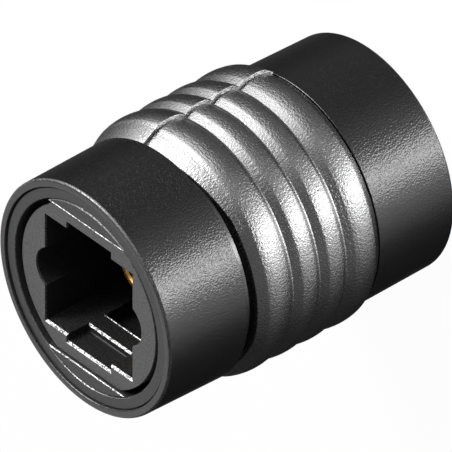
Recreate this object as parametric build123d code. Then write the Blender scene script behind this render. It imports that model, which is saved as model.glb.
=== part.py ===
"""Optical audio coupler: two keyed light-guide receptacles back to back in one round barrel.

Frame: the coupler stands on its rear end, so its axis is Z and the front opening looks up.
The origin is the middle of the rear face. X and Y are across the barrel, with the flats of
the front window at +Y and -Y. All sizes are in millimetres, and a depth is measured down
from the front face.
"""
from math import degrees, radians, sin, sqrt, tan
import os

from build123d import *

# Barrel
LENGTH = 23.5
SHELL_LENGTH = 6.3
SHELL_DRAFT = 1.085
RIM_WALL = 0.55
FACE_EDGE_ROUND = 0.18
SHELL_BACK_ROUND = 0.15
SPIGOT_WALL = 0.3
SPIGOT_LENGTH = 0.58

# Face ring
BEZEL_WIDTH = 0.76
BEZEL_RECESS = 0.15
BEZEL_SEAT_DEPTH = 1.6
WINDOW_EDGE = 0.08
WITNESS_WIDTH = 0.05
WITNESS_DEPTH = 0.09

# Receptacle block, sized from the standard plug opening
MOUTH_SIDE = 8.2
MOUTH_EDGE = 0.13
FLAT_WALL = 1.5
CORNER_WALL = 0.66
SOCKET_RECESS = 0.36
SOCKET_EDGE = 0.05
CAVITY_DEPTH = 8.3
KEYWAY_WIDTH = 4.14
KEYWAY_HEIGHT = 0.52
KEYWAY_END = 2.1
LATCH_START = 3.5
LATCH_END = 6.6
LATCH_HEIGHT = 0.9
BULGE_RADIUS = 1.68
BULGE_REACH = 0.85

# Brass ferrule sleeve
SLEEVE_BORE = 2.54
SLEEVE_WALL = 0.47
SLEEVE_DEPTH = 4.45
SLEEVE_EDGE = 0.08
SLEEVE_MOUTH = 0.12

# Carrier tube
TUBE_WALL = 0.89

# Ribbed grip band, two half shells
GRIP_FRONT_GAP = 0.83
GRIP_BACK_GAP = 0.05
GRIP_SEAT_LENGTH = SPIGOT_LENGTH + GRIP_BACK_GAP
LIP_WALL = 0.35
LIP_SLOPE_LENGTH = 0.62
LIP_ROUND = 0.1
CREST_RISE = 0.55
CROWN_ARC = 3.2
CROWN_ROUND = 0.5
GROOVE_COUNT = 3
GROOVE_PITCH = 2.2
GROOVE_SHIFT = 0.05
GROOVE_WIDTH = 1.0
GROOVE_FALL = 0.33
GROOVE_FOOT = 0.3
WEB_FALL = 0.25
WEB_ARC_LEFT = 42
WEB_ARC_RIGHT = 18
SEAM_ANGLE = 102.5
SEAM_GAP = 0.08
PROUD_HALF_STEP = 0.25

# Facets that stand for curves: the turn of each at a round corner, and how many arch a crown
FACET_TURN = 45
CROWN_FACETS = 2
SMALL_ROUND = 0.15

# Fits
SIDE_GAP = 0.28
FLAT_GAP = 0.04
SLIP = 0.05
PRESS = 0.02
BLOCK_GAP = 0.1

# How closely an edge is matched when it is picked by its size
EDGE_MATCH = 0.001

# Radii that follow from the sizes above, from the axis outwards
SLEEVE_RADIUS = SLEEVE_BORE / 2 + SLEEVE_WALL
BLOCK_FLAT = MOUTH_SIDE / 2 + FLAT_WALL
BLOCK_RADIUS = MOUTH_SIDE / sqrt(2) + CORNER_WALL
WINDOW_FLAT = BLOCK_FLAT + FLAT_GAP
WINDOW_RADIUS = BLOCK_RADIUS + SIDE_GAP
TUBE_RADIUS = BLOCK_RADIUS + SLIP + TUBE_WALL
BEZEL_RADIUS = WINDOW_RADIUS + BEZEL_WIDTH
FACE_RADIUS = BEZEL_RADIUS + SLIP + RIM_WALL
SPIGOT_RADIUS = TUBE_RADIUS + SLIP + SPIGOT_WALL
LIP_RADIUS = SPIGOT_RADIUS + SLIP + LIP_WALL
CREST_RADIUS = LIP_RADIUS + CREST_RISE


def at_depth(depth):
    """Height above the rear face of a point that lies this far below the front face."""
    return LENGTH - depth


def drafted_radius(depth):
    """Outer radius of the front shell at a depth below its face."""
    return FACE_RADIUS + depth * tan(radians(SHELL_DRAFT))


def half_section(corners):
    """Half section through corners of radius, depth and rounding, the rounds in short facets."""
    places = [Vector(radius, 0, at_depth(depth)) for radius, depth, _ in corners]
    points = []
    for index, (_, _, rounding) in enumerate(corners):
        here = places[index]
        if not rounding:
            points.append(here)
            continue
        back = (places[index - 1] - here).normalized()
        ahead = (places[(index + 1) % len(places)] - here).normalized()
        corner_angle = back.get_angle(ahead)
        half_angle = radians(corner_angle) / 2
        centre = here + (back + ahead).normalized() * (rounding / sin(half_angle))
        reach = rounding / tan(half_angle)
        turns = round((180 - corner_angle) / FACET_TURN) if rounding > SMALL_ROUND else 1
        facets = max(1, turns)
        for step in range(facets + 1):
            share = step / facets
            chord = here + (back * (1 - share) + ahead * share) * reach - centre
            points.append(centre + chord.normalized() * rounding)
    return make_face(Polyline(*points, close=True))


def to_rear(solid):
    """The same piece at the rear end of the barrel."""
    return mirror(solid, about=Plane.XY.offset(LENGTH / 2))


def ring_edges(solid, radius, height):
    """Round edges of a solid at one radius and one height."""
    found = solid.edges().filter_by(GeomType.CIRCLE)
    return found.filter_by(
        lambda edge: max(abs(edge.radius - radius), abs(edge.center().Z - height)) < EDGE_MATCH
    )


def d_section(radius, flat):
    """Round section with flats at +Y and -Y, each at the given distance from the axis."""
    return Circle(radius) & Rectangle(2 * radius, 2 * flat)


def prism(section, top_depth, bottom_depth):
    """Straight prism of a section between two depths."""
    return extrude(Pos(0, 0, at_depth(bottom_depth)) * section, bottom_depth - top_depth)


def front_shell():
    """Drafted end shell: thin rim, seat for the face ring, bore and inner spigot."""
    bore = TUBE_RADIUS + SLIP
    seat = BEZEL_RADIUS + SLIP
    spigot_end = SHELL_LENGTH + SPIGOT_LENGTH
    return revolve(half_section([
        (seat, 0, 0),
        (FACE_RADIUS, 0, FACE_EDGE_ROUND),
        (drafted_radius(SHELL_LENGTH), SHELL_LENGTH, SHELL_BACK_ROUND),
        (SPIGOT_RADIUS, SHELL_LENGTH, 0),
        (SPIGOT_RADIUS, spigot_end, 0),
        (bore, spigot_end, 0),
        (bore, BEZEL_SEAT_DEPTH, 0),
        (seat, BEZEL_SEAT_DEPTH, 0),
    ]), Axis.Z)


def front_bezel():
    """Face ring with a D-type window and a fine witness groove across its two segments."""
    ring = prism(Circle(BEZEL_RADIUS), BEZEL_RECESS, BEZEL_SEAT_DEPTH)
    ring -= prism(d_section(WINDOW_RADIUS, WINDOW_FLAT), BEZEL_RECESS, BEZEL_SEAT_DEPTH)
    window = ring.faces().sort_by(Axis.Z)[-1].inner_wires()[0]
    ring = chamfer(window.edges(), WINDOW_EDGE)
    groove = Circle(WINDOW_RADIUS) - Circle(WINDOW_RADIUS - WITNESS_WIDTH)
    return ring - prism(groove, BEZEL_RECESS, BEZEL_RECESS + WITNESS_DEPTH)


def mouth_section():
    """Outline of the receptacle opening: a square with a round bulge at each side."""
    bulge_centre = MOUTH_SIDE / 2 + BULGE_REACH - BULGE_RADIUS
    section = Rectangle(MOUTH_SIDE, MOUTH_SIDE)
    for side in (-1, 1):
        section += Pos(side * bulge_centre, 0) * Circle(BULGE_RADIUS)
    return section


def front_socket():
    """Receptacle block: D-shaped outside, keyed opening, latch recesses and sleeve bore."""
    block_end = (LENGTH - BLOCK_GAP) / 2
    keyway = Rectangle(KEYWAY_WIDTH, MOUTH_SIDE + 2 * KEYWAY_HEIGHT)
    latch = Rectangle(KEYWAY_WIDTH, MOUTH_SIDE + 2 * LATCH_HEIGHT)

    block = prism(d_section(BLOCK_RADIUS, BLOCK_FLAT), SOCKET_RECESS, block_end)
    rim = block.faces().sort_by(Axis.Z)[-1].outer_wire()
    block = chamfer(rim.edges(), SOCKET_EDGE)
    block -= prism(mouth_section(), SOCKET_RECESS, CAVITY_DEPTH)
    block -= prism(keyway, SOCKET_RECESS, KEYWAY_END)
    mouth = block.faces().sort_by(Axis.Z)[-1].inner_wires()[0]
    block = chamfer(mouth.edges(), MOUTH_EDGE)
    block -= prism(latch, LATCH_START, LATCH_END)
    return block - prism(Circle(SLEEVE_RADIUS + PRESS), CAVITY_DEPTH, block_end)


def ferrule_sleeve():
    """Brass sleeve through both blocks, open at both ends to take a plug's ferrule."""
    bore = SLEEVE_BORE / 2
    sleeve = prism(Circle(SLEEVE_RADIUS) - Circle(bore), SLEEVE_DEPTH, LENGTH - SLEEVE_DEPTH)
    for depth in (SLEEVE_DEPTH, LENGTH - SLEEVE_DEPTH):
        sleeve = chamfer(ring_edges(sleeve, SLEEVE_RADIUS, at_depth(depth)), SLEEVE_EDGE)
        sleeve = chamfer(ring_edges(sleeve, bore, at_depth(depth)), SLEEVE_MOUTH)
    return sleeve


def core_tube():
    """Carrier tube between the two face rings, bored to hold both receptacle blocks."""
    section = Circle(TUBE_RADIUS) - d_section(BLOCK_RADIUS + SLIP, BLOCK_FLAT + SLIP)
    return prism(section, BEZEL_SEAT_DEPTH, LENGTH - BEZEL_SEAT_DEPTH)


def crown_corners(crest, start, end):
    """Corners along one rib's gently arched crown, from its front edge to its rear edge."""
    half_width = (end - start) / 2
    corners = []
    for step in range(CROWN_FACETS + 1):
        along = half_width * (2 * step / CROWN_FACETS - 1)
        radius = crest - CROWN_ARC + sqrt(CROWN_ARC**2 - along**2)
        rounding = CROWN_ROUND if step in (0, CROWN_FACETS) else 0
        corners.append((radius, start + half_width + along, rounding))
    return corners


def grip_section(extra):
    """Half section of the ribbed grip band, standing proud by an extra radius."""
    start = SHELL_LENGTH + GRIP_FRONT_GAP
    end = LENGTH - SHELL_LENGTH - GRIP_BACK_GAP
    bore = TUBE_RADIUS + SLIP
    seat = SPIGOT_RADIUS + SLIP
    lip = LIP_RADIUS + extra
    crest = CREST_RADIUS + extra
    foot = crest - GROOVE_FALL
    first = (start + end) / 2 + GROOVE_SHIFT - (GROOVE_COUNT - 1) / 2 * GROOVE_PITCH
    grooves = [first + turn * GROOVE_PITCH for turn in range(GROOVE_COUNT)]
    crown_starts = [start + LIP_SLOPE_LENGTH] + [depth + GROOVE_WIDTH / 2 for depth in grooves]
    crown_ends = [depth - GROOVE_WIDTH / 2 for depth in grooves] + [end - LIP_SLOPE_LENGTH]

    corners = [(lip, start, LIP_ROUND)]
    for crown_start, crown_end in zip(crown_starts, crown_ends):
        corners += crown_corners(crest, crown_start, crown_end)
        if crown_end != crown_ends[-1]:
            middle = crown_end + GROOVE_WIDTH / 2
            corners += [(foot, middle - GROOVE_FOOT / 2, 0), (foot, middle + GROOVE_FOOT / 2, 0)]
    return half_section(corners + [
        (lip, end, LIP_ROUND),
        (seat, end, 0),
        (seat, end - GRIP_SEAT_LENGTH, 0),
        (bore, end - GRIP_SEAT_LENGTH, 0),
        (bore, start, 0),
    ])


def web_section(extra):
    """Half section of the web that fills the gap to the front shell beside a seam."""
    start = SHELL_LENGTH + GRIP_BACK_GAP
    slope_middle = SHELL_LENGTH + GRIP_FRONT_GAP + LIP_SLOPE_LENGTH / 2
    seat = SPIGOT_RADIUS + SLIP
    lip = LIP_RADIUS + extra
    return half_section([
        (lip - WEB_FALL, start, 0),
        (lip + CREST_RISE / 2, slope_middle, 0),
        (seat, slope_middle, 0),
        (seat, start, 0),
    ])


def grip_half(side, extra, web_arc):
    """One half shell of the grip band; side 0 starts at the seam, side 1 ends at it."""
    gap_angle = degrees(SEAM_GAP / CREST_RADIUS)
    arc = 180 - gap_angle
    half = revolve(grip_section(extra), Axis.Z, revolution_arc=arc)
    web = revolve(web_section(extra), Axis.Z, revolution_arc=web_arc)
    half += web
    half += Rot(0, 0, arc - web_arc) * web
    return Rot(0, 0, SEAM_ANGLE - 180 * side + gap_angle / 2) * half


def build():
    """Every piece of the coupler by node name."""
    shell = front_shell()
    bezel = front_bezel()
    socket = front_socket()
    return {
        "front_shell": shell,
        "rear_shell": to_rear(shell),
        "front_bezel": bezel,
        "rear_bezel": to_rear(bezel),
        "front_socket": socket,
        "rear_socket": to_rear(socket),
        "ferrule_sleeve": ferrule_sleeve(),
        "core_tube": core_tube(),
        "grip_half_left": grip_half(0, PROUD_HALF_STEP, WEB_ARC_LEFT),
        "grip_half_right": grip_half(1, 0, WEB_ARC_RIGHT),
    }


os.makedirs("parts", exist_ok=True)
for name, piece in build().items():
    export_step(piece, f"parts/{name}.step")
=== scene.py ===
"""Optical audio coupler, dressed for the studio: grained end shells, face rings, keyed
receptacles, a brass ferrule sleeve and a ribbed grip band in two halves.

Sizes are in millimetres and become metres where meshes are made. The coupler stands on its
rear end with its axis along Z, and a depth is measured down from the front face.
"""

import logging
import math
from collections.abc import Sequence
from dataclasses import dataclass, field
from enum import Enum, IntEnum

import bmesh
import bpy
from mathutils import Matrix, Vector
from mathutils.geometry import tessellate_polygon

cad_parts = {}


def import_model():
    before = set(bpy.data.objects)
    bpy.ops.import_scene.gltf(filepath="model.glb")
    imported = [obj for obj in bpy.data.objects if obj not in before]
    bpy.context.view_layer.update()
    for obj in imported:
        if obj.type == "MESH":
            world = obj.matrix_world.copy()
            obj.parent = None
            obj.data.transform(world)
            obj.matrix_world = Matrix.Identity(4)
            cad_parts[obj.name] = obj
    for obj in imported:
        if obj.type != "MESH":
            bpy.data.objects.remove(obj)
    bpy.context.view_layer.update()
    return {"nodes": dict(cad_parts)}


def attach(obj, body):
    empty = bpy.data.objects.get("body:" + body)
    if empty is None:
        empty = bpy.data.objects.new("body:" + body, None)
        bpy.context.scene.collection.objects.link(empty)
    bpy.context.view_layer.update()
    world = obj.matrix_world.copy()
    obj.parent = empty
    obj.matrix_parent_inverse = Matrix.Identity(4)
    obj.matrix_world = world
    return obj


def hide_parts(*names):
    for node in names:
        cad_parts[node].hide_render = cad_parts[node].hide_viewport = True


MM = 0.001
LENGTH = 23.5
WELD_DISTANCE = 0.001
SHARP_ANGLE = 32.0
NOISE_RANGE = (0.3, 0.7)
logger = logging.getLogger("coupler")

Colour = tuple[float, float, float]
Place = tuple[float, float, float]
Point = tuple[float, float]
Range = tuple[float, float]
Stop = tuple[float, float]
Limits = tuple[float, float, float, float]


class End(Enum):
    """The end of the barrel that a piece belongs to."""

    FRONT = "front"
    REAR = "rear"


class Half(Enum):
    """The half of the grip band, seen with the seam on top."""

    LEFT = "left"
    RIGHT = "right"


class ShellFace(IntEnum):
    """Material number of an end shell's face."""

    GRAINED = 0
    SPIGOT = 1
    WORN = 2
    RING_WALL = 3


class InsertFace(IntEnum):
    """Material number of a face on a ring or a receptacle."""

    PLAIN = 0
    WORN = 1
    # Faces of the opening, painted near-black as shade.
    INSIDE = 2
    # The opening's wall at -Y, lit by the lamp and painted a less dark shade.
    LIT = 3


class NodeSheet:
    """The node tree of a material or a world, with short ways to add and link nodes."""

    def __init__(self, name: str, world: bool = False) -> None:
        """Starts an empty tree with its output.

        Args:
            name: The name of the material or world.
            world: Whether it is a world.
        """
        group = bpy.data.worlds if world else bpy.data.materials
        self.owner: bpy.types.Material | bpy.types.World = group.new(name)
        self.owner.use_nodes = True
        self.tree: bpy.types.NodeTree = self.owner.node_tree
        self.tree.nodes.clear()
        self.output: bpy.types.Node = self.add("OutputWorld" if world else "OutputMaterial")

    def add(self, kind: str, settings: dict[str, object] | None = None, **inputs: object) -> bpy.types.Node:
        """Adds a node, with its settings and the values or links of its inputs.

        Args:
            kind: The node's type without its "ShaderNode" prefix.
            settings: Attributes to set on the node itself.
            **inputs: Input values or output sockets, by input name with underscores.

        Returns:
            The new node.
        """
        node = self.tree.nodes.new("ShaderNode" + kind)
        for key, value in (settings or {}).items():
            setattr(node, key, value)
        for key, value in inputs.items():
            self.feed(node.inputs[key.replace("_", " ")], value)
        return node

    def feed(self, socket: bpy.types.NodeSocket, value: object) -> None:
        """Links an output socket to an input, or sets the input's own value.

        Args:
            socket: The input.
            value: An output socket, or a value for the input.
        """
        if isinstance(value, bpy.types.NodeSocket):
            self.tree.links.new(value, socket)
        elif isinstance(value, tuple) and len(value) == 3 and socket.type == "RGBA":
            socket.default_value = (*value, 1.0)
        else:
            socket.default_value = value

    def grain(self, scale: float, detail: float, roughness: float = 0.5) -> bpy.types.NodeSocket:
        """Noise over the object's own space.

        Args:
            scale: Features per millimetre.
            detail: How many finer layers the noise has.
            roughness: How strong the finer layers are.

        Returns:
            The noise.
        """
        place = self.add("TexCoord").outputs["Object"]
        noise = self.add("TexNoise", Vector=place, Scale=scale / MM, Detail=detail, Roughness=roughness)
        return noise.outputs["Fac"]

    def ramp(self, value: bpy.types.NodeSocket, low: float, high: float, start: float,
             end: float) -> bpy.types.NodeSocket:
        """A value mapped from one range to another, clamped at both ends.

        Args:
            value: The value to map.
            low: Where its own range starts.
            high: Where its own range ends.
            start: The result at the low end.
            end: The result at the high end.

        Returns:
            The mapped value.
        """
        node = self.add("MapRange")
        for name, entry in zip(("Value", "From Min", "From Max", "To Min", "To Max"),
                               (value, low, high, start, end)):
            self.feed(node.inputs[name], entry)
        return node.outputs["Result"]

    def spread(self, noise: bpy.types.NodeSocket, start: float, end: float) -> bpy.types.NodeSocket:
        """A noise mapped from the range that it mostly keeps to, to another one."""
        return self.ramp(noise, *NOISE_RANGE, start, end)

    def tint(self, factor: bpy.types.NodeSocket, dark: Colour, light: Colour) -> bpy.types.NodeSocket:
        """A colour between two, by a factor.

        Args:
            factor: 0 for the dark colour, 1 for the light one.
            dark: The dark colour.
            light: The light colour.

        Returns:
            The mixed colour.
        """
        ramp = self.add("ValToRGB", Fac=factor)
        ramp.color_ramp.elements[0].color = (*dark, 1.0)
        ramp.color_ramp.elements[1].color = (*light, 1.0)
        return ramp.outputs["Color"]

    def bump(self, height: bpy.types.NodeSocket, depth: float,
             below: bpy.types.NodeSocket | None = None) -> bpy.types.NodeSocket:
        """A bumped normal from a height.

        Args:
            height: The height, from 0 to 1.
            depth: The height's full depth in millimetres.
            below: A normal that this one adds to.

        Returns:
            The bumped normal.
        """
        node = self.add("Bump", Height=height, Distance=depth * MM, Strength=1.0)
        if below is not None:
            self.feed(node.inputs["Normal"], below)
        return node.outputs["Normal"]

    def math(self, operation: str, *values: object) -> bpy.types.NodeSocket:
        """The result of a sum or function.

        Args:
            operation: The name of the sum or function.
            *values: Its one, two or three values.

        Returns:
            The result.
        """
        node = self.add("Math", {"operation": operation})
        for socket, value in zip(node.inputs, values):
            self.feed(socket, value)
        return node.outputs[0]

    def finish(self, shader: bpy.types.Node) -> bpy.types.Material | bpy.types.World:
        """Links the shader to the output and returns the material or world."""
        self.tree.links.new(shader.outputs[0], self.output.inputs["Surface"])
        return self.owner


@dataclass(frozen=True)
class GrainedPlastic:
    """Black moulded plastic with a fine leather grain."""

    name: str = "shell_grained_plastic"
    dark: Colour = (0.002, 0.002, 0.0021)
    light: Colour = (0.004, 0.004, 0.0041)
    grain_per_mm: float = 9.0
    grain_depth: float = 0.012
    pore_per_mm: float = 20.0
    pore_depth: float = 0.003
    cloud_per_mm: float = 0.5
    roughness: Range = (0.09, 0.14)
    specular: float = 0.76

    def make(self) -> bpy.types.Material:
        """Builds the material.

        Returns:
            The material.
        """
        sheet = NodeSheet(self.name)
        grain = sheet.grain(self.grain_per_mm, detail=1.0)
        pores = sheet.grain(self.pore_per_mm, detail=2.0, roughness=0.6)
        cloud = sheet.grain(self.cloud_per_mm, detail=2.0)
        coarse = sheet.bump(sheet.spread(grain, 0.0, 1.0), self.grain_depth)
        fine = sheet.bump(pores, self.pore_depth, coarse)
        shader = sheet.add(
            "BsdfPrincipled", Base_Color=sheet.tint(grain, self.dark, self.light),
            Roughness=sheet.spread(cloud, *self.roughness), Specular_IOR_Level=self.specular,
            Normal=fine)
        return sheet.finish(shader)


@dataclass(frozen=True)
class MattePlastic:
    """Dark grey moulded plastic with a fine matte surface."""

    name: str
    dark: Colour
    light: Colour
    roughness: Range = (0.34, 0.46)
    specular: float = 0.5
    grain_per_mm: float = 8.0
    grain_depth: float = 0.004
    tone_range: Range = (0.35, 0.65)

    def make(self) -> bpy.types.Material:
        """Builds the material.

        Returns:
            The material.
        """
        sheet = NodeSheet(self.name)
        fine = sheet.grain(self.grain_per_mm, detail=2.0, roughness=0.6)
        tone = sheet.ramp(fine, *self.tone_range, 0.0, 1.0)
        shader = sheet.add(
            "BsdfPrincipled", Base_Color=sheet.tint(tone, self.dark, self.light),
            Roughness=sheet.spread(fine, *self.roughness),
            Specular_IOR_Level=self.specular, Normal=sheet.bump(fine, self.grain_depth))
        return sheet.finish(shader)


RING_PLASTIC = MattePlastic("bezel_matte_plastic", (0.01, 0.01, 0.0102), (0.032, 0.032, 0.0322))
BLOCK_PLASTIC = MattePlastic("socket_matte_plastic", (0.022, 0.022, 0.0222), (0.078, 0.078, 0.0782))
# Painted shade: the opening takes the block's plastic made near-black and without reflection, and its wall
# at -Y a less dark painted shade where the lamp reaches it.
OPENING_PAINTED_SHADE = MattePlastic("socket_inner_painted_shade", (0.008, 0.008, 0.008), (0.014, 0.014, 0.014),
                               specular=0.0)
LIT_WALL_PAINTED_SHADE = MattePlastic("socket_lit_wall_painted_shade", (0.004, 0.004, 0.004), (0.026, 0.026, 0.026),
                                specular=0.1, grain_depth=0.01)


@dataclass(frozen=True)
class WornEdge:
    """Corners of the moulded plastic, rubbed shiny in patches."""

    name: str = "worn_edge_plastic"
    colour: Colour = (0.016, 0.016, 0.0165)
    lift: float = 1.6
    patch_per_mm: float = 8.0
    patch_range: Range = (0.44, 0.6)
    patch_depth: float = 0.016
    cloud_per_mm: float = 0.9
    roughness: Range = (0.12, 0.75)

    def make(self) -> bpy.types.Material:
        """Builds the material.

        Returns:
            The material.
        """
        sheet = NodeSheet(self.name)
        patches = sheet.grain(self.patch_per_mm, detail=3.0, roughness=0.65)
        cloud = sheet.grain(self.cloud_per_mm, detail=2.0)
        light = tuple(self.lift * part for part in self.colour)
        shader = sheet.add(
            "BsdfPrincipled", Base_Color=sheet.tint(cloud, self.colour, light),
            Roughness=sheet.ramp(patches, *self.patch_range, *self.roughness),
            Specular_IOR_Level=1.0, Normal=sheet.bump(patches, self.patch_depth))
        return sheet.finish(shader)


@dataclass(frozen=True)
class SmoothPlastic:
    """Polished black plastic of the shell's spigot and the carrier tube."""

    name: str = "core_smooth_plastic"
    colour: Colour = (0.012, 0.012, 0.0125)
    shade: float = 0.7
    cloud_per_mm: float = 1.6
    scuff_per_mm: float = 7.0
    scuff_depth: float = 0.012
    roughness: Range = (0.08, 0.16)

    def make(self) -> bpy.types.Material:
        """Builds the material.

        Returns:
            The material.
        """
        sheet = NodeSheet(self.name)
        cloud = sheet.grain(self.cloud_per_mm, detail=2.0)
        scuffs = sheet.grain(self.scuff_per_mm, detail=3.0, roughness=0.7)
        dark = tuple(self.shade * part for part in self.colour)
        shader = sheet.add(
            "BsdfPrincipled", Base_Color=sheet.tint(cloud, dark, self.colour),
            Roughness=sheet.spread(scuffs, *self.roughness), Specular_IOR_Level=1.0,
            Normal=sheet.bump(scuffs, self.scuff_depth))
        return sheet.finish(shader)


@dataclass(frozen=True)
class BlastedMetal:
    """Dark anodised, bead-blasted metal of the grip band."""

    name: str = "grip_blasted_metal"
    dark: Colour = (0.225, 0.225, 0.227)
    light: Colour = (0.3, 0.3, 0.303)
    dimple_per_mm: float = 7.0
    dimple_depth: float = 0.028
    speck_per_mm: float = 14.0
    speck_depth: float = 0.01
    cloud_per_mm: float = 0.8
    roughness: Range = (0.23, 0.35)

    def make(self) -> bpy.types.Material:
        """Builds the material.

        Returns:
            The material.
        """
        sheet = NodeSheet(self.name)
        dimple = sheet.grain(self.dimple_per_mm, detail=1.0)
        speck = sheet.grain(self.speck_per_mm, detail=2.0, roughness=0.6)
        cloud = sheet.grain(self.cloud_per_mm, detail=3.0)
        coarse = sheet.bump(dimple, self.dimple_depth)
        fine = sheet.bump(speck, self.speck_depth, coarse)
        shader = sheet.add(
            "BsdfPrincipled", Base_Color=sheet.tint(cloud, self.dark, self.light), Metallic=1.0,
            Roughness=sheet.spread(speck, *self.roughness), Normal=fine)
        return sheet.finish(shader)


@dataclass(frozen=True)
class TurnedBrass:
    """Turned brass with fine tool rings round the axis."""

    name: str = "sleeve_turned_brass"
    dark: Colour = (0.75, 0.38, 0.08)
    light: Colour = (0.95, 0.58, 0.2)
    ring_per_mm: float = 2.2
    ring_waver: float = 0.4
    ring_depth: float = 0.003
    cloud_per_mm: float = 1.4
    roughness: Range = (0.2, 0.32)

    def make(self) -> bpy.types.Material:
        """Builds the material.

        Returns:
            The material.
        """
        sheet = NodeSheet(self.name)
        place = sheet.add("TexCoord").outputs["Object"]
        rings = sheet.add("TexWave", {"wave_type": "RINGS", "rings_direction": "Z"},
                          Vector=place, Scale=self.ring_per_mm / MM, Distortion=self.ring_waver,
                          Detail=2.0)
        cloud = sheet.grain(self.cloud_per_mm, detail=3.0)
        shader = sheet.add(
            "BsdfPrincipled", Base_Color=sheet.tint(cloud, self.dark, self.light), Metallic=1.0,
            Roughness=sheet.spread(cloud, *self.roughness),
            Normal=sheet.bump(rings.outputs["Fac"], self.ring_depth))
        return sheet.finish(shader)


@dataclass(frozen=True)
class Corner:
    """A corner of a half section: its radius from the axis, its depth and its rounding."""

    radius: float
    depth: float
    rounding: float = 0.0


@dataclass
class Shape:
    """A mesh in the making: places in metres, faces and the material number of each face."""

    vertices: list[Place] = field(default_factory=list)
    faces: list[tuple[int, ...]] = field(default_factory=list)
    kinds: list[int] = field(default_factory=list)

    def take(self, other: "Shape") -> None:
        """Adds another shape.

        Args:
            other: The shape to add.
        """
        count = len(self.vertices)
        self.vertices += other.vertices
        self.faces += [tuple(count + index for index in face) for face in other.faces]
        self.kinds += other.kinds

    def loop(self, points: list[Point], depth: float) -> list[int]:
        """Adds a flat outline at a depth.

        Args:
            points: The outline's points.
            depth: Its depth from the front face.

        Returns:
            The numbers of its vertices.
        """
        first = len(self.vertices)
        self.vertices += [(x * MM, y * MM, (LENGTH - depth) * MM) for x, y in points]
        return list(range(first, len(self.vertices)))

    def face(self, numbers: list[int], kind: int = 0) -> None:
        """Adds one face."""
        self.faces.append(tuple(numbers))
        self.kinds.append(kind)

    def wall(self, upper: list[int], lower: list[int], kind: int = 0,
             skip: tuple[int, ...] = ()) -> None:
        """Joins two loops of the same length.

        Args:
            upper: Vertex numbers of one loop.
            lower: Vertex numbers of the other.
            kind: Material number of the new faces.
            skip: Places in the loop whose stretch, from the point before, stays open.
        """
        for index, number in enumerate(upper):
            if index not in skip:
                self.face([number, upper[index - 1], lower[index - 1], lower[index]], kind)

    def cap(self, *loops: list[int], kind: int = 0) -> None:
        """Closes an outline, with a hole for each further loop.

        Args:
            *loops: Vertex numbers of the outline and of each hole.
            kind: Material number of the new faces.
        """
        numbers = [number for loop in loops for number in loop]
        places = [[Vector(self.vertices[number]) for number in loop] for loop in loops]
        for triangle in tessellate_polygon(places):
            self.face([numbers[index] for index in triangle], kind)

    def turned_over(self) -> "Shape":
        """The same shape at the rear end of the barrel."""
        flipped = [(x, y, LENGTH * MM - z) for x, y, z in self.vertices]
        return Shape(flipped, self.faces, self.kinds)


def arc_points(before: Vector, corner: Vector, after: Vector, rounding: float,
               steps: int) -> list[Vector]:
    """Points of the arc that rounds a corner.

    Args:
        before: The corner before it on the outline.
        corner: The corner itself.
        after: The corner after it.
        rounding: The arc's radius.
        steps: How many chords the arc has.

    Returns:
        The arc's points in outline order, or the corner alone where it stays sharp.
    """
    if rounding <= 0:
        return [corner]
    back = (before - corner).normalized()
    ahead = (after - corner).normalized()
    angle = back.angle(ahead)
    reach = rounding / math.tan(angle / 2)
    centre = corner + (back + ahead).normalized() * rounding / math.sin(angle / 2)
    first = corner + back * reach - centre
    last = corner + ahead * reach - centre
    turn = math.pi - angle
    points = []
    for step in range(steps + 1):
        share = step / steps
        weight_a = math.sin((1 - share) * turn) / math.sin(turn)
        weight_b = math.sin(share * turn) / math.sin(turn)
        points.append(centre + first * weight_a + last * weight_b)
    return points


def supported(points: list[Vector], margin: float, spacing: float) -> list[Vector]:
    """Adds points near the ends of long runs, so that smooth shading stays at the corners.

    Args:
        points: A closed outline.
        margin: How far from a run's ends its extra points lie.
        spacing: The longest distance between points along a run.

    Returns:
        The closed outline with its extra points.
    """
    result = []
    for here, there in zip(points, points[1:] + points[:1]):
        result.append(here)
        run = (there - here).length
        if run <= 4 * margin:
            continue
        inner = run - 2 * margin
        parts = max(1, math.ceil(inner / spacing))
        result += [here.lerp(there, (margin + inner * part / parts) / run) for part in range(parts + 1)]
    return result


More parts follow.
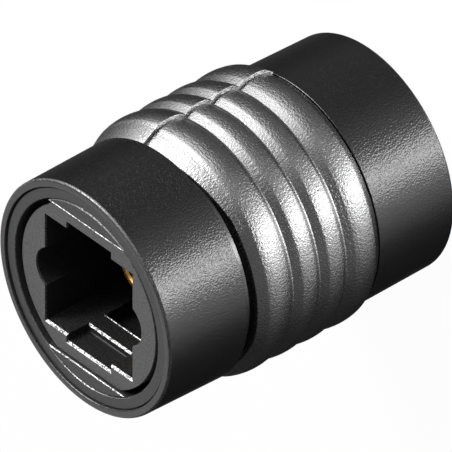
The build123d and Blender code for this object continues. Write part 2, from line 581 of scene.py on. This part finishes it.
@dataclass
class Turning:
    """A lathe piece made from a closed half section."""

    corners: list[Corner]
    start: float = 0.0
    sweep: float = 360.0
    steps: int = 288
    arc_steps: int = 6
    margin: float = 0.03
    spacing: float = 2.5
    seam_round: float = 0.0
    seam_shares: tuple[float, ...] = (0.0, 0.08, 0.25, 0.55, 1.0)

    def outline(self) -> list[Vector]:
        """The closed outline with its rounded corners.

        Returns:
            The outline as (radius, depth) vectors.
        """
        flat = [Vector((corner.radius, corner.depth)) for corner in self.corners]
        points = []
        for index, corner in enumerate(self.corners):
            after = flat[(index + 1) % len(flat)]
            points += arc_points(flat[index - 1], flat[index], after, corner.rounding, self.arc_steps)
        return supported(points, self.margin, self.spacing)

    def rings(self) -> list[tuple[float, float]]:
        """Where the section's copies stand, with rounded ends where the piece stops at a seam.

        Returns:
            Each copy's angle in degrees and its inward offset.
        """
        if self.sweep >= 360:
            return [(self.start + self.sweep * step / self.steps, 0.0) for step in range(self.steps)]
        reach = max(corner.radius for corner in self.corners)
        turns = []
        for share in self.seam_shares:
            along = self.seam_round * share
            rest = self.seam_round - along
            drop = self.seam_round - math.sqrt(max(0.0, self.seam_round**2 - rest**2))
            turns.append((math.degrees(along / reach), drop))
        body_start = turns[-1][0]
        inner = self.sweep - 2 * body_start
        body = [(self.start + body_start + inner * step / self.steps, 0.0) for step in range(1, self.steps)]
        head = [(self.start + turn, drop) for turn, drop in turns]
        tail = [(self.start + self.sweep - turn, drop) for turn, drop in reversed(turns)]
        return head + body + tail

    def shape(self) -> Shape:
        """Turns the outline round the axis.

        Returns:
            The piece's shape.
        """
        outline = self.outline()
        count = len(outline)
        inward = []
        for index, point in enumerate(outline):
            along = outline[(index + 1) % count] - outline[index - 1]
            inward.append(Vector((-along.y, along.x)).normalized())
        area = sum(a.x * b.y - b.x * a.y for a, b in zip(outline, outline[1:] + outline[:1]))
        side = 1.0 if area > 0 else -1.0
        vertices = []
        rings = self.rings()
        for turn, drop in rings:
            angle = math.radians(turn)
            for point, normal in zip(outline, inward):
                place = point + normal * drop * side
                vertices.append((place.x * math.cos(angle) * MM, place.x * math.sin(angle) * MM,
                                 (LENGTH - place.y) * MM))
        closed = self.sweep >= 360
        pairs = len(rings) if closed else len(rings) - 1
        faces = []
        for ring in range(pairs):
            this = ring * count
            following = (ring + 1) % len(rings) * count
            for index in range(count):
                after = (index + 1) % count
                faces.append((this + index, this + after, following + after, following + index))
        if not closed:
            faces.append(tuple(reversed(range(count))))
            faces.append(tuple(range((len(rings) - 1) * count, len(rings) * count)))
        return Shape(vertices, faces, [0] * len(faces))


def mesh_object(name: str, *shapes: Shape) -> bpy.types.Object:
    """Makes a smooth-shaded object whose sharp edges stay sharp.

    Args:
        name: The object's name.
        *shapes: The parts of its mesh.

    Returns:
        The object, linked to the scene.
    """
    whole = Shape()
    for shape in shapes:
        whole.take(shape)
    mesh = bpy.data.meshes.new(name)
    mesh.from_pydata(whole.vertices, [], whole.faces)
    mesh.polygons.foreach_set("material_index", whole.kinds)
    mesh.polygons.foreach_set("use_smooth", [True] * len(mesh.polygons))
    work = bmesh.new()
    work.from_mesh(mesh)
    bmesh.ops.remove_doubles(work, verts=work.verts, dist=WELD_DISTANCE * MM)
    bmesh.ops.recalc_face_normals(work, faces=work.faces)
    work.to_mesh(mesh)
    work.free()
    mesh.set_sharp_from_angle(angle=math.radians(SHARP_ANGLE))
    mesh.update()
    piece = bpy.data.objects.new(name, mesh)
    bpy.context.scene.collection.objects.link(piece)
    return piece


def dress(piece: bpy.types.Object, *materials: bpy.types.Material) -> None:
    """Gives a piece its materials.

    Args:
        piece: The piece, whose faces keep their material numbers.
        *materials: Its materials, in the order of those numbers.
    """
    kinds = [face.material_index for face in piece.data.polygons]
    piece.data.materials.clear()
    for material in materials:
        piece.data.materials.append(material)
    piece.data.polygons.foreach_set("material_index", kinds)


def enter(piece: bpy.types.Object, slot: str, *nodes: str) -> None:
    """Puts a new piece on the coupler in place of CAD nodes and reports it.

    Args:
        piece: The new piece.
        slot: The slot of its look; it is not used.
        *nodes: The nodes that it stands for.
    """
    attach(piece, "root")
    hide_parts(*nodes)
    logger.info("%s stands for %s", piece.name, ", ".join(nodes))


@dataclass
class EndShell:
    """A drafted end shell with a thin rim, a bore and a polished inner spigot."""

    end: End
    rim_radius: float = 7.548
    face_radius: float = 8.098
    back_radius: float = 8.2173
    length: float = 6.3
    face_round: float = 0.18
    back_round: float = 0.05
    rim_round: float = 0.07
    spigot_radius: float = 7.748
    spigot_length: float = 0.58
    spigot_round: float = 0.05
    bore_radius: float = 7.448
    seat_depth: float = 1.6
    worn_start: float = 0.02
    worn_end: float = 0.14
    tolerance: float = 0.02

    def corners(self) -> list[Corner]:
        """The half section, at depths that suit the end.

        Returns:
            The section's corners in order.
        """
        tip = self.length + self.spigot_length
        section = [
            Corner(self.rim_radius, 0, self.rim_round),
            Corner(self.face_radius, 0, self.face_round),
            Corner(self.back_radius, self.length, self.back_round),
            Corner(self.spigot_radius, self.length),
            Corner(self.spigot_radius, tip, self.spigot_round),
            Corner(self.bore_radius, tip),
            Corner(self.bore_radius, self.seat_depth),
            Corner(self.rim_radius, self.seat_depth),
        ]
        if self.end is End.FRONT:
            return section
        return [Corner(c.radius, LENGTH - c.depth, c.rounding) for c in section]

    def kind(self, radius: float, depth: float) -> ShellFace:
        """Which material a face takes, by the place of its centre.

        Args:
            radius: The centre's distance from the axis.
            depth: Its depth from the shell's own face.

        Returns:
            The face's material number.
        """
        if depth > self.length + self.tolerance:
            return ShellFace.SPIGOT
        if self.worn_start < depth < self.worn_end and radius > self.face_radius - self.face_round:
            return ShellFace.WORN
        if depth > self.rim_round / 2 and radius < self.rim_radius + self.rim_round / 2:
            return ShellFace.RING_WALL
        return ShellFace.GRAINED

    def build(self, *materials: bpy.types.Material) -> None:
        """Makes the shell.

        Args:
            *materials: The materials, in the order of ShellFace.
        """
        piece = mesh_object(f"{self.end.value}_shell_skin", Turning(self.corners(), arc_steps=8).shape())
        dress(piece, *materials)
        for face in piece.data.polygons:
            depth = LENGTH - face.center.z / MM
            depth = depth if self.end is End.FRONT else LENGTH - depth
            face.material_index = self.kind(math.hypot(face.center.x, face.center.y) / MM, depth)
        enter(piece, "shell", f"{self.end.value}_shell")


@dataclass
class GripHalf:
    """One ribbed half of the grip band: lips, four crowns and three grooves."""

    half: Half
    extra: float = 0.0
    start: float = 7.13
    end: float = 17.15
    bore_radius: float = 7.448
    seat_radius: float = 7.798
    seat_length: float = 0.63
    lip_radius: float = 8.148
    lip_slope: float = 0.62
    lip_round: float = 0.1
    crest_radius: float = 8.698
    crown_arc: float = 3.2
    crown_round: float = 0.5
    crown_parts: int = 6
    groove_count: int = 3
    groove_pitch: float = 2.2
    groove_shift: float = 0.05
    groove_width: float = 1.0
    groove_fall: float = 0.33
    groove_foot: float = 0.1
    foot_shift: float = -0.1
    foot_round: float = 0.03
    web_arc: float = 15.0
    web_fade: float = 48.0
    web_start: float = 6.35
    web_fall: float = 0.25
    web_setback: float = 0.12
    web_edge: float = 0.03
    seam_angle: float = 102.5
    seam_gap: float = 0.02
    seam_round: float = 0.05

    def crowns(self) -> list[tuple[float, float]]:
        """Where the crowns lie between the lips and the grooves.

        Returns:
            Each crown's start and end depth.
        """
        middle = (self.start + self.end) / 2 + self.groove_shift
        first = middle - (self.groove_count - 1) / 2 * self.groove_pitch
        grooves = [first + number * self.groove_pitch for number in range(self.groove_count)]
        starts = [self.start + self.lip_slope] + [depth + self.groove_width / 2 for depth in grooves]
        ends = [depth - self.groove_width / 2 for depth in grooves] + [self.end - self.lip_slope]
        return list(zip(starts, ends))

    def corners(self) -> list[Corner]:
        """The half section.

        Returns:
            The section's corners in order.
        """
        lip = self.lip_radius + self.extra
        crest = self.crest_radius + self.extra
        foot = crest - self.groove_fall
        section = [Corner(lip, self.start, self.lip_round)]
        crowns = self.crowns()
        for number, (start, end) in enumerate(crowns):
            half_width = (end - start) / 2
            middle = (start + end) / 2
            for part in range(self.crown_parts + 1):
                along = half_width * (2 * part / self.crown_parts - 1)
                height = crest - self.crown_arc + math.sqrt(self.crown_arc**2 - along**2)
                rounding = self.crown_round if part in (0, self.crown_parts) else 0.0
                section.append(Corner(height, middle + along, rounding))
            if number < len(crowns) - 1:
                groove = end + self.groove_width / 2 + self.foot_shift
                section.append(Corner(foot, groove - self.groove_foot / 2, self.foot_round))
                section.append(Corner(foot, groove + self.groove_foot / 2, self.foot_round))
        section += [
            Corner(lip, self.end, self.lip_round),
            Corner(self.seat_radius, self.end),
            Corner(self.seat_radius, self.end - self.seat_length),
            Corner(self.bore_radius, self.end - self.seat_length),
            Corner(self.bore_radius, self.start),
        ]
        return section

    def web(self, seam: float, turn: float) -> Shape:
        """The web beside a seam, which fills the gap to the front shell and fades away from it.

        Args:
            seam: Angle of the web's end at the seam.
            turn: 1 where the web runs to larger angles, -1 where it runs to smaller ones.

        Returns:
            The web's mesh.
        """
        lip = self.lip_radius + self.extra
        middle = self.start + self.lip_slope / 2
        slope_radius = (lip + self.crest_radius + self.extra) / 2
        shape = Shape()
        rings = []
        steps = round(self.web_arc + self.web_fade)
        for step in range(steps + 1):
            fade = min(1.0, max(0.0, (step - self.web_arc) / self.web_fade))
            front = self.web_start + (self.start + self.web_setback - self.web_start) * fade
            top = lip - self.web_fall * (1.0 - fade)
            angle = math.radians(seam + turn * step)
            section = [(self.seat_radius, front), (top - self.web_edge, front),
                       (top, front + self.web_edge), (slope_radius, middle), (self.seat_radius, middle)]
            first = len(shape.vertices)
            shape.vertices += [(radius * math.cos(angle) * MM, radius * math.sin(angle) * MM,
                                (LENGTH - depth) * MM) for radius, depth in section]
            rings.append(list(range(first, first + len(section))))
        for here, there in zip(rings, rings[1:]):
            shape.wall(here, there)
        shape.face(rings[0])
        shape.face(rings[-1])
        return shape

    def build(self, metal: bpy.types.Material) -> None:
        """Makes the half.

        Args:
            metal: The grip's material.
        """
        gap = math.degrees(self.seam_gap / self.crest_radius)
        turn = 0.0 if self.half is Half.LEFT else -180.0
        start = self.seam_angle + turn + gap / 2
        body = Turning(self.corners(), start=start, sweep=180 - gap, steps=160,
                       seam_round=self.seam_round, arc_steps=5)
        webs = (self.web(start, 1), self.web(start + 180 - gap, -1))
        piece = mesh_object(f"grip_{self.half.value}_skin", body.shape(), *webs)
        dress(piece, metal)
        enter(piece, "grip", f"grip_half_{self.half.value}")


def arc(radius: float, start: float, end: float, steps: int, centre: float = 0.0) -> list[Point]:
    """Points along an arc, from one angle to another in degrees, round a centre on the X axis."""
    turns = [math.radians(start + (end - start) * step / steps) for step in range(steps + 1)]
    return [(centre + radius * math.cos(turn), radius * math.sin(turn)) for turn in turns]


@dataclass
class FaceRing:
    """Ring round the opening with two segments beside the window's flats and a fine groove."""

    end: End
    radius: float = 7.498
    window_radius: float = 6.738
    window_flat: float = 5.64
    recess: float = 0.15
    depth: float = 1.6
    edge: float = 0.06
    ring_edge: float = 0.05
    outer_edge: float = 0.05
    arc_edge: float = 0.08
    bead: float = 0.07
    groove: float = 0.05
    groove_depth: float = 0.09
    floor_overlap: float = 0.02
    ring_steps: int = 240
    segment_steps: int = 60

    def ring(self) -> Shape:
        """The full ring, as wide as the window's round sides.

        Returns:
            The ring's shape.
        """
        loops = Shape()
        outer, inner = self.radius, self.window_radius
        profile = [(outer, self.depth), (outer, self.recess + self.outer_edge),
                   (outer - self.outer_edge, self.recess),
                   (inner + self.ring_edge, self.recess), (inner, self.recess + self.ring_edge),
                   (inner, self.depth)]
        rings = [loops.loop(arc(radius, 0, 360, self.ring_steps)[:-1], depth) for radius, depth in profile]
        plain, worn = InsertFace.PLAIN, InsertFace.WORN
        for number, kind in enumerate((plain, plain, plain, worn, plain)):
            loops.wall(rings[number], rings[number + 1], kind)
        loops.wall(rings[-1], rings[0])
        return loops

    def segment_outline(self, radius: float, flat: float) -> list[Point]:
        """Outline of a segment between a chord at +Y and an arc."""
        reach = math.degrees(math.asin(flat / radius))
        return arc(radius, reach, 180 - reach, self.segment_steps)

    def segment(self, side: float) -> Shape:
        """A segment with burnished edges, and the groove's floor behind it.

        Args:
            side: 1 for the segment at +Y, -1 for the one at -Y.

        Returns:
            The segment's shape.
        """
        shape = Shape()
        radius = self.window_radius - self.groove
        levels = ((radius - self.arc_edge, self.window_flat + self.edge, self.recess),
                  (radius, self.window_flat, self.recess + self.edge),
                  (radius, self.window_flat, self.depth))
        loops = []
        for reach, flat, depth in levels:
            points = [(x, side * y) for x, y in self.segment_outline(reach, flat)]
            loops.append(shape.loop(points, depth))
        shape.cap(loops[0])
        shape.wall(loops[0], loops[1], InsertFace.WORN)
        shape.wall(loops[1], loops[2])
        shape.cap(loops[2])
        floor_radius = self.window_radius + self.floor_overlap
        floor_flat = self.window_flat + self.floor_overlap
        floor = [(x, side * y) for x, y in self.segment_outline(floor_radius, floor_flat)]
        upper = shape.loop(floor, self.recess + self.groove_depth)
        lower = shape.loop(floor, self.depth)
        shape.cap(upper)
        shape.wall(upper, lower)
        shape.cap(lower)
        return shape

    def ridge(self) -> Shape:
        """A fine bead along the window's flat at +Y.

        Returns:
            The bead's shape.
        """
        shape = Shape()
        near, far = self.window_flat, self.window_flat + self.bead
        reach = math.sqrt((self.window_radius - self.groove) ** 2 - far**2)
        section = ((near, self.recess + self.bead), (near, self.recess - self.bead / 2),
                   (near + self.bead / 4, self.recess - self.bead / 2), (far, self.recess + self.bead / 4),
                   (far, self.recess + self.bead))
        ends = []
        for x in (-reach, reach):
            ends.append([shape.loop([(x, y)], depth)[0] for y, depth in section])
            shape.face(ends[-1])
        shape.wall(*ends, InsertFace.WORN)
        return shape

    def build(self, matte: bpy.types.Material, worn: bpy.types.Material) -> None:
        """Makes the ring.

        Args:
            matte: The ring's own material.
            worn: The material of its worn edges.
        """
        shapes = [self.ring(), self.segment(1.0), self.segment(-1.0), self.ridge()]
        if self.end is End.REAR:
            shapes = [shape.turned_over() for shape in shapes]
        piece = mesh_object(f"{self.end.value}_bezel_skin", *shapes)
        dress(piece, matte, worn)
        enter(piece, "bezel", f"{self.end.value}_bezel")


@dataclass
class Receptacle:
    """Keyed block: D-shaped outside, square opening with side bulges, keyways and latch recesses."""

    end: End
    radius: float = 6.34
    flat: float = 5.6
    recess: float = 0.36
    edge: float = 0.05
    side: float = 4.1
    mouth_edge: float = 0.14
    side_edge: float = 0.05
    step_edge: float = 0.12
    key_fillet: float = 0.06
    latch_lip: float = 0.05
    bulge: float = 1.68
    bulge_reach: float = 0.85
    key_half: float = 2.07
    key_height: float = 0.52
    key_end: float = 2.1
    latch_start: float = 3.5
    latch_end: float = 6.6
    latch_height: float = 0.9
    floor: float = 8.3
    end_depth: float = 11.7
    sleeve_bore: float = 1.76
    tolerance: float = 0.01
    side_steps: int = 48
    bulge_steps: int = 24
    hole_steps: int = 64

    def outside(self, inset: float) -> list[Point]:
        """Outline with round sides and flats at +Y and -Y.

        Args:
            inset: How far it lies inside the block's sides.

        Returns:
            The outline's points.
        """
        radius = self.radius - inset
        reach = math.degrees(math.asin((self.flat - inset) / radius))
        right = arc(radius, -reach, reach, self.side_steps)
        return right + arc(radius, 180 - reach, 180 + reach, self.side_steps)

    def mouth(self, grow: float = 0.0, key: float = 0.0) -> list[Point]:
        """Outline of the opening, with its side bulges.

        Args:
            grow: How much larger the outline is all round.
            key: Height of the keyways at +Y and -Y, or 0 for none.

        Returns:
            The outline's points.
        """
        side = self.side + grow
        bulge = self.bulge + grow
        centre = self.side + self.bulge_reach - self.bulge
        reach = math.degrees(math.acos((side - centre) / bulge))
        right = arc(bulge, -reach, reach, self.bulge_steps, centre)
        key_half = self.key_half + (grow if key else 0.0)
        ends = [(key_half, side), (-key_half, side)]
        if key:
            ends[1:1] = [(key_half, side + key), (-key_half, side + key)]
        half = [*right, (side, side), *ends, (-side, side)]
        return half + [(-x, -y) for x, y in half]

    def build(self, matte: bpy.types.Material, worn: bpy.types.Material,
              inside: bpy.types.Material, lit: bpy.types.Material) -> None:
        """Makes the block, whose opening is painted near-black as shade, apart from its wall at -Y, which
        is painted less dark where the lamp reaches it.

        Args:
            matte: The block's own material.
            worn: The material of its worn edges.
            inside: The material of the opening, a near-black painted shade.
            lit: The material of the opening's wall at -Y, a painted shade less dark than the rest of the
                opening.
        """
        shape = Shape()
        # The opening's faces take the near-black painted shade.
        inner = InsertFace.INSIDE
        front = self.recess
        rim = shape.loop(self.outside(self.edge), front)
        shoulder = shape.loop(self.outside(0.0), front + self.edge)
        tail = shape.loop(self.outside(0.0), self.end_depth)
        shape.wall(rim, shoulder, InsertFace.WORN)
        shape.wall(shoulder, tail)

        extra = self.mouth_edge - self.side_edge
        outline = [(x, y - extra if y < -self.side else y)
                   for x, y in self.mouth(self.side_edge, self.key_height)]
        lip = shape.loop(outline, front)
        mouth = shape.loop(self.mouth(0.0, self.key_height), front + self.mouth_edge)
        key_floor = shape.loop(self.mouth(0.0, self.key_height), self.key_end)
        shape.cap(rim, lip)
        shape.wall(lip, mouth, InsertFace.WORN)
        shape.wall(mouth, key_floor, inner)

        throat = self.mouth()
        top = shape.loop(throat, self.key_end)
        latch_top = shape.loop(throat, self.latch_start)
        latch_floor = shape.loop(throat, self.latch_end)
        floor = shape.loop(throat, self.floor)
        # The two stretches across the keyways stay open here, because key_side closes them.
        keyways = (len(throat) // 2 - 2, len(throat) - 2)
        for upper, lower in ((top, latch_top), (latch_top, latch_floor), (latch_floor, floor)):
            shape.wall(upper, lower, inner, skip=keyways)
        for turn in (1, -1):
            self.key_side(shape, turn)

        hole = arc(self.sleeve_bore, 0, 360, self.hole_steps)[:-1]
        hole_top = shape.loop(hole, self.floor)
        hole_tail = shape.loop(hole, self.end_depth)
        shape.cap(floor, hole_top, kind=inner)
        shape.wall(hole_top, hole_tail, inner)
        shape.cap(tail, hole_tail)
        # Faces of the opening's wall at -Y take the less dark painted shade, where the lamp reaches it.
        beyond = -(self.side - self.tolerance) * MM
        for number, face in enumerate(shape.faces):
            if shape.kinds[number] == inner and max(shape.vertices[index][1] for index in face) < beyond:
                shape.kinds[number] = InsertFace.LIT
        if self.end is End.REAR:
            shape = shape.turned_over()
        piece = mesh_object(f"{self.end.value}_socket_skin", shape)
        dress(piece, matte, worn, inside, lit)
        enter(piece, "socket", f"{self.end.value}_socket")

    def key_side(self, shape: Shape, turn: int) -> None:
        """The stepped wall below one keyway: ledge, throat, latch recess and back wall.

        Args:
            shape: The mesh that takes the wall.
            turn: 1 for the keyway at +Y, -1 for the one at -Y.
        """
        side, edge, lip = self.side, self.step_edge, self.latch_lip
        # The keyway walls take the near-black painted shade of the opening.
        inner, worn = InsertFace.INSIDE, InsertFace.WORN
        key = side + self.key_height
        latch = side + self.latch_height
        steps = (
            (key, self.key_end - self.key_fillet, inner),
            (key - self.key_fillet, self.key_end, inner),
            (side + edge, self.key_end, worn),
            (side, self.key_end + edge, inner),
            (side, self.latch_start - 2 * lip, worn),
            (side - lip, self.latch_start - lip, inner),
            (side - lip, self.latch_start, inner),
            (latch, self.latch_start, inner),
            (latch, self.latch_end, inner),
            (side, self.latch_end, inner),
            (side, self.floor, inner),
        )
        ribs = [shape.loop([(turn * x, turn * y) for x in (-self.key_half, self.key_half)], depth)
                for y, depth, _ in steps]
        for (near, far), (near_next, far_next), (_, _, kind) in zip(ribs, ribs[1:], steps):
            shape.face([near, far, far_next, near_next], kind)
        recess_end = ((side, self.latch_start), (latch, self.latch_start), (latch, self.latch_end),
                      (side, self.latch_end))
        edge_end = ((side, self.key_end), (side + edge, self.key_end), (side, self.key_end + edge))
        for x in (-self.key_half, self.key_half):
            for corners in (recess_end, edge_end):
                shape.face([shape.loop([(turn * x, turn * y)], depth)[0] for y, depth in corners], inner)


@dataclass
class FerruleSleeve:
    """Turned brass sleeve on the axis, with chamfered mouths."""

    radius: float = 1.74
    bore: float = 1.27
    depth: float = 4.45
    edge: float = 0.08
    mouth: float = 0.12
    mouth_round: float = 0.02
    edge_round: float = 0.03

    def build(self, brass: bpy.types.Material) -> None:
        """Makes the sleeve.

        Args:
            brass: The sleeve's material.
        """
        tail = LENGTH - self.depth
        corners = [
            Corner(self.bore + self.mouth, self.depth, self.mouth_round),
            Corner(self.radius - self.edge, self.depth, self.edge_round),
            Corner(self.radius, self.depth + self.edge, self.edge_round),
            Corner(self.radius, tail - self.edge, self.edge_round),
            Corner(self.radius - self.edge, tail, self.edge_round),
            Corner(self.bore + self.mouth, tail, self.mouth_round),
            Corner(self.bore, tail - self.mouth, self.mouth_round),
            Corner(self.bore, self.depth + self.mouth, self.mouth_round),
        ]
        piece = mesh_object("ferrule_sleeve_skin", Turning(corners, steps=96, arc_steps=3).shape())
        dress(piece, brass)
        enter(piece, "sleeve", "ferrule_sleeve")


@dataclass
class KeptNodes:
    """CAD nodes whose shapes stay and that only take a finish."""

    nodes: dict[str, bpy.types.Object]

    def wear(self, material: bpy.types.Material, *names: str) -> None:
        """Gives the named nodes a material.

        Args:
            material: The material.
            *names: The nodes' names.
        """
        for name in names:
            dress(self.nodes[name], material)
            logger.info("%s keeps its shape", name)


@dataclass
class Lamp:
    """A rectangular soft lamp aimed at a point, given by its brightness."""

    name: str
    place: Place
    aim: Place
    width: float
    height: float
    brightness: float

    def build(self) -> None:
        """Makes the lamp."""
        light = bpy.data.lights.new(self.name, "AREA")
        light.shape = "RECTANGLE"
        light.size = self.width * MM
        light.size_y = self.height * MM
        light.energy = self.brightness * math.pi * self.width * self.height * MM * MM
        lamp = bpy.data.objects.new(self.name, light)
        lamp.location = Vector(self.place) * MM
        away = (Vector(self.place) - Vector(self.aim)).normalized()
        lamp.rotation_euler = away.to_track_quat("Z", "Y").to_euler()
        lamp.visible_camera = False
        lamp.visible_glossy = False
        bpy.context.scene.collection.objects.link(lamp)


@dataclass
class Surroundings:
    """What the coupler mirrors: a brightness by azimuth below and above the horizon, in degrees.

    Cameras see plain white and diffuse light is even, so the pattern only shows in reflections.
    """

    ambient: float = 0.45
    scale: float = 15.0
    horizon: Range = (-18.0, -6.0)
    low: tuple[Stop, ...] = (
        (-180, 0.06), (-150, 0.08), (-130, 0.06), (-116, 0.012), (-85, 0.035), (-62, 0.07),
        (-45, 0.18), (-35, 0.3), (-25, 0.85), (-15, 1.3), (-5, 1.4), (4, 1.9), (11, 4.4),
        (19, 10.8), (26, 8.1), (33, 2.6), (42, 1.3), (52, 0.9), (65, 0.6), (75, 0.4), (85, 0.28),
        (145, 0.22), (165, 0.08), (180, 0.06))
    high: tuple[Stop, ...] = (
        (-180, 0.4), (-165, 0.3), (-150, 0.85), (-122, 0.9), (-110, 0.05), (-62, 0.04), (-46, 0.14),
        (-20, 0.26), (10, 0.26), (33, 0.2), (56, 0.36), (68, 0.6), (80, 1.1), (90, 2.2), (100, 3.4),
        (148, 3.6), (155, 2.0), (165, 1.1), (172, 0.7), (180, 0.4))
    softbox: float = 21.0
    softbox_azimuth: Limits = (112.0, 122.0, 146.0, 152.0)
    softbox_height: Limits = (25.0, 30.0, 44.0, 50.0)

    def by_azimuth(self, sheet: NodeSheet, turn: bpy.types.NodeSocket,
                   stops: tuple[Stop, ...]) -> bpy.types.NodeSocket:
        """Brightness that follows a row of stops round the horizon.

        Args:
            sheet: The world's nodes.
            turn: The azimuth, from 0 to 1 over the full circle.
            stops: Azimuths in degrees, each with its brightness.

        Returns:
            The brightness.
        """
        ramp = sheet.add("ValToRGB", Fac=turn)
        elements = ramp.color_ramp.elements
        while len(elements) < len(stops):
            elements.new(0.5)
        for element, (azimuth, value) in zip(elements, stops):
            element.position = (azimuth + 180.0) / 360.0
            element.color = (value / self.scale,) * 3 + (1.0,)
        return sheet.math("MULTIPLY", ramp.outputs["Color"], self.scale)

    def window(self, sheet: NodeSheet, value: bpy.types.NodeSocket,
               limits: Limits) -> bpy.types.NodeSocket:
        """A share that is 1 between two limits and fades to 0 beyond them.

        Args:
            sheet: The world's nodes.
            value: The value to test.
            limits: Where the share starts to rise, is full, starts to fall and is 0 again.

        Returns:
            The share.
        """
        rise = sheet.ramp(value, limits[0], limits[1], 0.0, 1.0)
        fall = sheet.ramp(value, limits[2], limits[3], 1.0, 0.0)
        return sheet.math("MULTIPLY", rise, fall)

    def build(self) -> None:
        """Makes the world."""
        sheet = NodeSheet("studio_world", world=True)
        direction = sheet.add("TexCoord").outputs["Generated"]
        parts = sheet.add("SeparateXYZ", Vector=direction).outputs
        azimuth = sheet.math("DEGREES", sheet.math("ARCTAN2", parts["Y"], parts["X"]))
        height = sheet.math("DEGREES", sheet.math("ARCSINE", parts["Z"]))
        turn = sheet.ramp(azimuth, -180.0, 180.0, 0.0, 1.0)
        low = self.by_azimuth(sheet, turn, self.low)
        high = self.by_azimuth(sheet, turn, self.high)
        upper = sheet.ramp(height, *self.horizon, 0.0, 1.0)
        even = sheet.math("ADD", sheet.math("MULTIPLY", high, upper),
                          sheet.math("MULTIPLY", low, sheet.math("SUBTRACT", 1.0, upper)))
        box = sheet.math("MULTIPLY", self.window(sheet, azimuth, self.softbox_azimuth),
                         self.window(sheet, height, self.softbox_height))
        mirrored = sheet.math("MULTIPLY_ADD", box, self.softbox, even)
        path = sheet.add("LightPath").outputs
        white = sheet.math("MAXIMUM", path["Is Camera Ray"], path["Is Transmission Ray"])
        plain_light = sheet.ramp(white, 0.0, 1.0, self.ambient, 1.0)
        glossy = path["Is Glossy Ray"]
        strength = sheet.math("ADD", sheet.math("MULTIPLY", mirrored, glossy),
                              sheet.math("MULTIPLY", plain_light, sheet.math("SUBTRACT", 1.0, glossy)))
        shader = sheet.add("Background", Color=(1.0, 1.0, 1.0), Strength=strength)
        bpy.context.scene.world = sheet.finish(shader)


@dataclass
class Studio:
    """White studio: surroundings, floor, lamps and the camera at the photograph's angle."""

    floor_size: float = 1600.0
    floor_white: float = 0.82
    shadow_share: float = 0.035
    lens: float = 1650.0
    distance: float = 1283.4
    back: Place = (0.6032, 0.6032, 0.5218)
    right: Place = (0.6542, 0.0, -0.7563)
    up: Place = (-0.4562, 0.7976, -0.3946)
    shift_right: float = 8.782
    shift_up: float = 4.54
    sensor: float = 36.0
    near_clip: float = 0.05
    far_clip: float = 50.0
    lamps: list[Lamp] = field(default_factory=lambda: [
        Lamp("tall_back_lamp", (-30.0, 88.0, 38.0), (0.0, 0.0, 12.0), 215.0, 72.0, 2.6),
        Lamp("softbox_lamp", (-68.0, 97.0, 116.0), (0.0, 0.0, 20.0), 50.0, 50.0, 30.0),
    ])

    def floor(self) -> None:
        """Pale floor that looks white and keeps a faint shadow."""
        half = self.floor_size / 2 * MM
        corners = [(-half, -half, 0.0), (half, -half, 0.0), (half, half, 0.0), (-half, half, 0.0)]
        floor = mesh_object("studio_floor", Shape(corners, [(0, 1, 2, 3)], [0]))
        sheet = NodeSheet("floor_white")
        path = sheet.add("LightPath").outputs
        seen = sheet.math("MAXIMUM", path["Is Camera Ray"], path["Is Glossy Ray"])
        share = sheet.ramp(seen, 0.0, 1.0, 0.0, 1.0 - self.shadow_share)
        diffuse = sheet.add("BsdfDiffuse", Color=(self.floor_white,) * 3)
        glow = sheet.add("Emission", Color=(1.0, 1.0, 1.0), Strength=1.0)
        mix = sheet.add("MixShader", Fac=share)
        sheet.feed(mix.inputs[1], diffuse.outputs[0])
        sheet.feed(mix.inputs[2], glow.outputs[0])
        dress(floor, sheet.finish(mix))
        floor.visible_glossy = False

    def camera(self) -> None:
        """Camera at the photograph's viewing angle and framing."""
        data = bpy.data.cameras.new("photo_camera")
        data.lens = self.lens
        data.sensor_width = self.sensor
        data.clip_start = self.near_clip
        data.clip_end = self.far_clip
        face = Vector((0.0, 0.0, LENGTH))
        place = face + Vector(self.back) * self.distance
        middle = face + Vector(self.right) * self.shift_right + Vector(self.up) * self.shift_up
        back = (place - middle).normalized()
        right = Vector(self.right)
        right = (right - back * right.dot(back)).normalized()
        up = back.cross(right)
        turn = Matrix((right, up, back)).transposed().to_4x4()
        camera = bpy.data.objects.new("photo_camera", data)
        camera.matrix_world = Matrix.Translation(place * MM) @ turn
        bpy.context.scene.collection.objects.link(camera)
        bpy.context.scene.camera = camera

    def build(self) -> None:
        """Sets up the whole studio."""
        bpy.context.scene.view_settings.view_transform = "Standard"
        Surroundings().build()
        self.floor()
        for light in self.lamps:
            light.build()
        self.camera()
        logger.info("studio ready with %d lamps", len(self.lamps))


def plain(box: Sequence[Sequence[float]]) -> list[list[float]]:
    """A bounding box as plain lists of numbers."""
    return [[float(number) for number in corner] for corner in box]


def main() -> None:
    """Builds and dresses every piece in order, then the studio."""
    logging.basicConfig(level=logging.INFO)
    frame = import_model()

    shell = GrainedPlastic().make()
    smooth = SmoothPlastic().make()
    worn = WornEdge().make()
    ring = RING_PLASTIC.make()
    for end in End:
        EndShell(end).build(shell, smooth, worn, ring)
    metal = BlastedMetal().make()
    GripHalf(Half.LEFT, extra=0.25, web_arc=42.0).build(metal)
    GripHalf(Half.RIGHT, seam_round=0.015).build(metal)
    FerruleSleeve().build(TurnedBrass().make())

    block = BLOCK_PLASTIC.make()
    # Painted shade for the opening: near-black, and less dark on its wall at -Y where the lamp reaches it.
    inside = OPENING_PAINTED_SHADE.make()
    lit = LIT_WALL_PAINTED_SHADE.make()
    for end in End:
        FaceRing(end).build(ring, worn)
        Receptacle(end).build(block, worn, inside, lit)
    KeptNodes(frame["nodes"]).wear(smooth, "core_tube")

    Studio().build()


if __name__ == "__main__":
    main()
